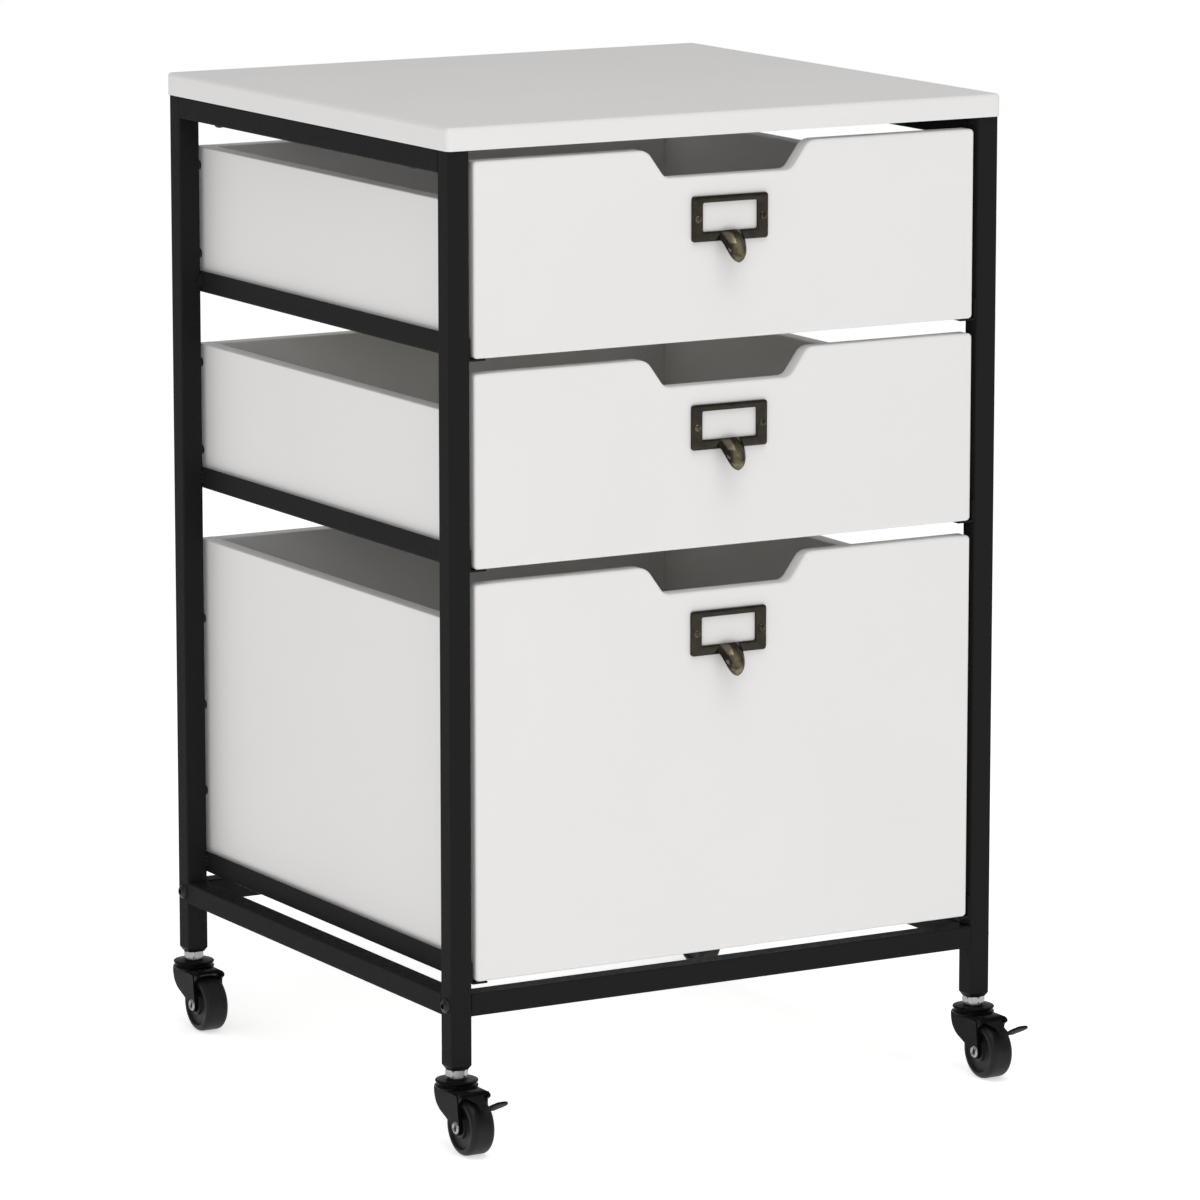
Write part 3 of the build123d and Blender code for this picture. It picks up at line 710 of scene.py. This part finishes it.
# the channel seen from the front, once round its outside and back along its inside
channel = []
for inward, order in ((0, 1), (fork_sheet, -1)):
    half, top, radius = fork_half - inward, fork_top - inward, fork_bend - inward
    path = [(half, fork_foot), *arc((half - radius, top - radius), radius, bend_angles)]
    path += [(-half + radius - radius * math.sin(a), top - radius + radius * math.cos(a))
             for a in bend_angles]
    path += [(-half, fork_foot)]
    channel += path[::order]
seat_profile = [
    (0.0033, 0.0436), (0.0146, 0.0436), (0.0150, 0.0440), (0.0150, 0.0450), (0.0146, 0.0455),
    (0.0141, 0.0458), (0.0140, 0.0462), (0.0140, 0.0467), (0.0137, 0.0470), (0.0033, 0.0470)]
for corner in corners:
    x, y = post_spots[corner]
    mesh = prism(channel, "Y", *fork_ends)
    sheet = piece_from(mesh, f"caster_{corner}_fork", black_enamel, 35.0)
    mesh = prism(smooth_outline(cheek_side, cheek_steps), "X", -die_half, die_half)
    die = piece_from(mesh, "cheek_die", black_enamel, 35.0)
    press = sheet.modifiers.new("pressed outline", "BOOLEAN")
    press.operation = "INTERSECT"
    press.solver = "EXACT"
    press.object = die
    edge = sheet.modifiers.new("deburred edge", "BEVEL")
    edge.width = 0.0004
    edge.segments = 2
    edge.limit_method = "ANGLE"
    edge.angle_limit = math.radians(50)
    graph = bpy.context.evaluated_depsgraph_get()
    pressed = bpy.data.meshes.new_from_object(sheet.evaluated_get(graph), depsgraph=graph)
    bpy.data.objects.remove(die)
    sheet.modifiers.clear()
    mesh = bmesh.new()
    mesh.from_mesh(pressed)
    turn_profile(mesh, seat_profile, (0, 0, 0), "Z", race_steps)
    for side in (-1, 1):
        flat = prism(smooth_outline(strip_side, strip_steps), "X",
                     side * (fork_half - strip_sink), side * (fork_half + strip_rise))
        flat.to_mesh(pressed)
        flat.free()
        mesh.from_mesh(pressed)
    bmesh.ops.remove_doubles(mesh, verts=mesh.verts, dist=1e-7)
    bmesh.ops.recalc_face_normals(mesh, faces=mesh.faces)
    bmesh.ops.translate(mesh, verts=mesh.verts, vec=(x, y, 0))
    mesh.to_mesh(sheet.data)
    mesh.free()
    smooth(sheet.data, 35.0)
    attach(sheet, f"{corner}_caster")
    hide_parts(f"caster_fork_{corner}")


# Caster axles: zinc plated steel rivets through both cheeks and the wheel, set with a rolled
# ring on each end.
axle_steps = 40
axle_half = [
    (0, 0.0117), (0.0016, 0.0117), (0.0020, 0.0119), (0.0024, 0.0127), (0.0029, 0.0130),
    (0.0036, 0.0128), (0.0043, 0.0121), (0.0045, 0.0115), (0.0030, 0.0115)]
axle_profile = axle_half + [(radius, -along) for radius, along in reversed(axle_half)]
for corner in corners:
    x, y = post_spots[corner]
    mesh = bmesh.new()
    rows = []
    for i in range(axle_steps):
        angle = 2 * math.pi * i / axle_steps
        rows.append([
            mesh.verts.new((x + along, y - hub_back + radius * math.cos(angle),
                            hub_up + radius * math.sin(angle)))
            for radius, along in axle_profile])
    for i in range(axle_steps):
        near, far = rows[i], rows[(i + 1) % axle_steps]
        for k in range(len(near) - 1):
            if axle_profile[k][0] == 0:
                mesh.faces.new((near[0], near[1], far[1]))
            elif axle_profile[k + 1][0] == 0:
                mesh.faces.new((near[k], near[k + 1], far[k]))
            else:
                mesh.faces.new((near[k], near[k + 1], far[k + 1], far[k]))
    axle = piece_from(mesh, f"caster_{corner}_axle_rivet", zinc_plate, 45.0)
    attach(axle, f"{corner}_caster")
    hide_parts(f"caster_axle_{corner}")


# Caster wheels: moulded in one piece, hard black, with round shoulders, a dished side and a
# hub boss that runs against the cheeks.
wheel_black = new_finish("black_moulded_wheel_rubber", {"Specular IOR Level": 0.2})
# Hard rubber takes a thin grey film of dust where it rolls, in smears some 4 mm across.
smear = grain(wheel_black, 0.004, detail=3.0)
plug_in(wheel_black, {
    "Base Color": blend(wheel_black, smear, "#101010", "#1b1b1b"),
    "Roughness": spread(wheel_black, smear, 0.34, 0.52)})

wheel_steps = 80
wheel_radius = 0.0200
shoulder = 0.0035
shoulder_angles = (0.2, 0.4, 0.6, 0.8, 1.0, 1.2, 1.4)
# half of the section, out from the bore: boss, dished web, rim, shoulder and tread
wheel_half = [
    (0.0031, 0.0092), (0.0070, 0.0092), (0.0074, 0.0090), (0.0075, 0.0086), (0.0076, 0.0076),
    (0.0079, 0.0071), (0.0085, 0.0069), (0.0115, 0.0066), (0.0143, 0.0069), (0.0149, 0.0073),
    (0.0152, 0.0080), (0.0155, 0.0087), (0.0159, 0.0090), (0.0165, 0.0090),
    *[(0.0165 + shoulder * math.sin(a), 0.0055 + shoulder * math.cos(a))
      for a in shoulder_angles],
    (wheel_radius, 0.0053), (wheel_radius, 0.0020)]
wheel_profile = wheel_half + [(radius, -along) for radius, along in reversed(wheel_half)]
for corner in corners:
    x, y = post_spots[corner]
    mesh = bmesh.new()
    turn_profile(mesh, wheel_profile + [wheel_profile[0]], (x, y - hub_back, hub_up), "X",
                 wheel_steps)
    wheel = piece_from(mesh, f"caster_{corner}_moulded_wheel", wheel_black, 40.0)
    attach(wheel, f"{corner}_wheel")
    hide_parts(f"caster_wheel_{corner}")


# Brake pedals on the front casters: steel strip bent over the wheel, on a cross pin in the
# fork's lug, narrowed to a neck and spread into a leaf-shaped foot pad with pressed ribs. The
# strip is phosphated, which leaves it duller than the painted fork.
matt_black = new_finish("black_phosphated_strip_steel", {"Specular IOR Level": 0.012})
# Phosphate crystals are far too fine to see, so the mottle is drawn 1.5 mm across.
mottle = grain(matt_black, 0.0015, detail=3.0)
plug_in(matt_black, {
    "Base Color": blend(matt_black, mottle, "#0c0c0c", "#2a2a2a"),
    "Roughness": spread(matt_black, mottle, 0.35, 0.6)})

pad_half = 0.0065
neck_half = 0.0034
pedal_thick = 0.0016
pedal_lip = 0.0004
# where the strip's width changes, from the nose to the round end of the pad
nose_end = -0.0290
neck_start = -0.0335
neck_end = -0.0450
pad_widest = -0.0585
pad_end = -0.0660
least_share = 0.0004


def pedal_half(y):
    if y > nose_end:
        return pad_half
    if y > neck_start:
        return neck_half + (pad_half - neck_half) * (y - neck_start) / (nose_end - neck_start)
    if y > neck_end:
        return neck_half
    if y > pad_widest:
        t = (neck_end - y) / (neck_end - pad_widest)
        return neck_half + (pad_half - neck_half) * (3 * t ** 2 - 2 * t ** 3)
    beyond = (pad_widest - y) / (pad_widest - pad_end)
    return pad_half * math.sqrt(max(least_share, 1 - beyond ** 2))


pedal_line = [Vector(p) for p in (
    lug, (-0.0330, 0.0402), (-0.0405, 0.0365), (-0.0455, 0.0365), (pad_end, 0.0469))]
pedal_bend = 0.0028
bend_steps = 6
pad_steps = 22
pedal_path = [pedal_line[0]]
for before, bend, after in zip(pedal_line, pedal_line[1:], pedal_line[2:]):
    start = bend + (before - bend).normalized() * pedal_bend
    stop = bend + (after - bend).normalized() * pedal_bend
    for i in range(bend_steps + 1):
        t = i / bend_steps
        pedal_path.append(start * (1 - t) ** 2 + bend * 2 * t * (1 - t) + stop * t ** 2)
pad_start = pedal_path[-1]
pad_run = pedal_line[-1] - pad_start
pedal_path += [pad_start + pad_run * (i / pad_steps) for i in range(1, pad_steps + 1)]


def upward_from(run):
    up = Vector((-run[1], run[0])).normalized()
    return -up if up[1] < 0 else up


pad_ribs, given = new_tree("pad_ribs", {
    "Spots": "Geometry", "Rib Length": "Float", "Rib Radius": "Float", "Finish": "Material"},
    "Ribs")
slim = maths(pad_ribs, "DIVIDE", given["Rib Length"], given["Rib Radius"])
ball = add_node(pad_ribs, "GeometryNodeMeshUVSphere", {
    "Segments": 12, "Rings": 8, "Radius": given["Rib Radius"]})
bar = add_node(pad_ribs, "GeometryNodeTransform", {
    "Geometry": ball.outputs["Mesh"], "Scale": xyz(pad_ribs, slim, 1.0, 1.0)})
spots_on = add_node(pad_ribs, "GeometryNodeMeshToPoints", {"Mesh": given["Spots"]})
ribs_on = add_node(pad_ribs, "GeometryNodeInstanceOnPoints", {
    "Points": spots_on.outputs[0], "Instance": bar.outputs[0]})
send_out(pad_ribs, ribs_on.outputs[0], given["Finish"], "Ribs")

# the barrel round the pin and the pin itself, as radius and half length
pin_rounds = ((0.0026, 0.0065), (0.0015, 0.0115))
pin_core = 0.0001
pin_ease = 0.0003
pin_steps = 28
rib_count = 6
first_rib = 0.42
rib_pitch = 0.09
for corner in ("front_left", "front_right"):
    x, y = post_spots[corner]
    mesh = bmesh.new()
    rings = []
    for i, spot in enumerate(pedal_path):
        ahead = pedal_path[min(i + 1, len(pedal_path) - 1)] - pedal_path[max(i - 1, 0)]
        up = upward_from(ahead)
        half = pedal_half(spot[0])
        lip = min(pedal_lip, half * 0.5)
        ring = []
        # across the strip, and up from its middle in shares of its thickness
        for across, lift in ((-half, -0.3), (-half + lip, -0.5), (half - lip, -0.5), (half, -0.3),
                             (half, 0.3), (half - lip, 0.5), (-half + lip, 0.5), (-half, 0.3)):
            point = spot + up * pedal_thick * lift
            ring.append((x + across, y + point[0], point[1]))
        rings.append(ring)
    rows = skin_over(mesh, rings)
    mesh.faces.new(rows[0])
    mesh.faces.new(rows[-1])
    for radius, half in pin_rounds:
        turn_profile(mesh, [
            (pin_core, -half), (radius - pin_ease, -half), (radius, -half + pin_ease),
            (radius, half - pin_ease), (radius - pin_ease, half), (pin_core, half)],
            (x, y + lug[0], lug[1]), "X", pin_steps)
    pedal = piece_from(mesh, f"brake_pedal_{corner}_strip", matt_black, 40.0)
    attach(pedal, f"{corner}_brake")
    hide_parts(f"brake_pedal_{corner}")
    spots = []
    for i in range(rib_count):
        on_pad = pad_start + pad_run * (first_rib + rib_pitch * i)
        on_pad = on_pad + upward_from(pad_run) * pedal_thick * 0.5
        spots.append((x, y + on_pad[0], on_pad[1]))
    ribs = grow(f"brake_pedal_{corner}_ribs", pad_ribs, {
        "Rib Length": 0.0046, "Rib Radius": 0.0005, "Finish": matt_black}, spots, sharp=60.0)
    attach(ribs, f"{corner}_brake")


# Studio: a wide white floor that glows a little, so that it reads as white paper with faint
# shadows under the wheels.
floor_half = 16
floor_mesh = bpy.data.meshes.new("studio_floor")
floor_mesh.from_pydata([
    (-floor_half, -floor_half, 0), (floor_half, -floor_half, 0),
    (floor_half, floor_half, 0), (-floor_half, floor_half, 0)], [], [(0, 1, 2, 3)])
floor = bpy.data.objects.new("studio_floor", floor_mesh)
bpy.context.scene.collection.objects.link(floor)
floor_mesh.materials.append(new_finish("white_studio_paper", {
    "Base Color": to_linear("#f8f8f8"), "Roughness": 0.9, "Specular IOR Level": 0.1,
    "Emission Color": (1, 1, 1, 1), "Emission Strength": 0.57}))

# Light: an even white room, a large softbox overhead and a small one beside the camera,
# so that the drawer fronts are the brightest faces and the top the greyest.
world = bpy.data.worlds.new("white_room")
bpy.context.scene.world = world
world.use_nodes = True
room = world.node_tree.nodes["Background"]
room.inputs["Color"].default_value = (1, 1, 1, 1)
room.inputs["Strength"].default_value = 0.45
bpy.context.scene.view_settings.view_transform = "Standard"
bpy.context.scene.view_settings.look = "None"


def set_up(name, data, target, azimuth, elevation, distance):
    # a lamp or camera at this distance from the target, facing it
    a, e = math.radians(azimuth), math.radians(elevation)
    away = Vector((math.sin(a) * math.cos(e), -math.cos(a) * math.cos(e), math.sin(e)))
    holder = bpy.data.objects.new(name, data)
    holder.location = Vector(target) + away * distance
    holder.rotation_euler = away.to_track_quat("Z", "Y").to_euler()
    bpy.context.scene.collection.objects.link(holder)
    return holder


def softbox(name, azimuth, elevation, distance, width, height, watts):
    lamp = bpy.data.lights.new(name, "AREA")
    lamp.shape = "RECTANGLE"
    lamp.size = width
    lamp.size_y = height
    lamp.energy = watts
    set_up(name, lamp, (0, 0, 0.35), azimuth, elevation, distance)


softbox("overhead_softbox", azimuth=-5, elevation=66, distance=3.2,
        width=2.4, height=1.8, watts=34.5)
softbox("camera_side_softbox", azimuth=-42, elevation=18, distance=3.4,
        width=1.0, height=0.7, watts=10)

# Camera: a long lens a little above the cart and to its left, as in the photograph.
camera_data = bpy.data.cameras.new("photo_camera")
camera_data.lens = 198.63
camera_data.sensor_width = 36.0
camera_data.clip_end = 100.0
bpy.context.scene.camera = set_up(
    "photo_camera", camera_data, target=(-0.000906, -0.0082, 0.337759),
    azimuth=-29.94, elevation=10.405, distance=4.75418)
